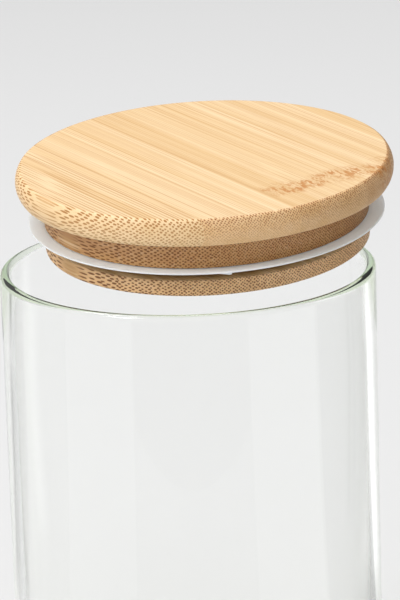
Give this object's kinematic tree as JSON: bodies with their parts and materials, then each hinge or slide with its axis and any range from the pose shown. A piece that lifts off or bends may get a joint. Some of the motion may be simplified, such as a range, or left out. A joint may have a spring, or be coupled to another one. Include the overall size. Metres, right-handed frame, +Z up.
{
  "type": "food canister",
  "caption": "Round clear glass storage canister with a push-in laminated bamboo lid, sealed by a silicone ring in a groove round the lid's plug.",
  "frame": {"origin": "centre of the jar's flat base, on the surface it stands on", "axes": "+Z up along the jar's axis; -Y is the front, where the lid tips down; +X to the right seen from the front"},
  "size_m": [0.1051, 0.1005, 0.1836],
  "materials": {
    "borosilicate_glass": "clear blown borosilicate, fire-polished rim, faint green at the edge",
    "bamboo": "sanded laminated bamboo under a thin satin lacquer",
    "silicone": "translucent white food-grade silicone, satin"
  },
  "bodies": {
    "jar": {"glass_jar": "borosilicate_glass"},
    "seal": {"seal_ring": "silicone"},
    "lid": {"cap_strip_1": "bamboo", "cap_strip_2": "bamboo", "cap_strip_3": "bamboo", "cap_strip_4": "bamboo", "cap_strip_5": "bamboo", "lower_plug_strip_1": "bamboo", "lower_plug_strip_2": "bamboo", "lower_plug_strip_3": "bamboo", "lower_plug_strip_4": "bamboo", "lower_plug_strip_5": "bamboo", "upper_plug_strip_1": "bamboo", "upper_plug_strip_2": "bamboo", "upper_plug_strip_3": "bamboo", "upper_plug_strip_4": "bamboo"}
  },
  "joints": [
    {"name": "lid_lift_off", "type": "hinge", "parent": "jar", "child": "seal", "pos_m": [-0.04957, -0.22584, 0.18388], "axis": [0.9467, -0.2399, -0.2148], "range_deg": [-5.5, 75], "deforming": ["seal_ring"]},
    {"name": "lid_turn", "type": "hinge", "parent": "seal", "child": "lid", "pos_m": [0.0052, 0.001, 0.17195], "axis": [-0.0239, -0.0906, 0.9956], "continuous": true}
  ]
}
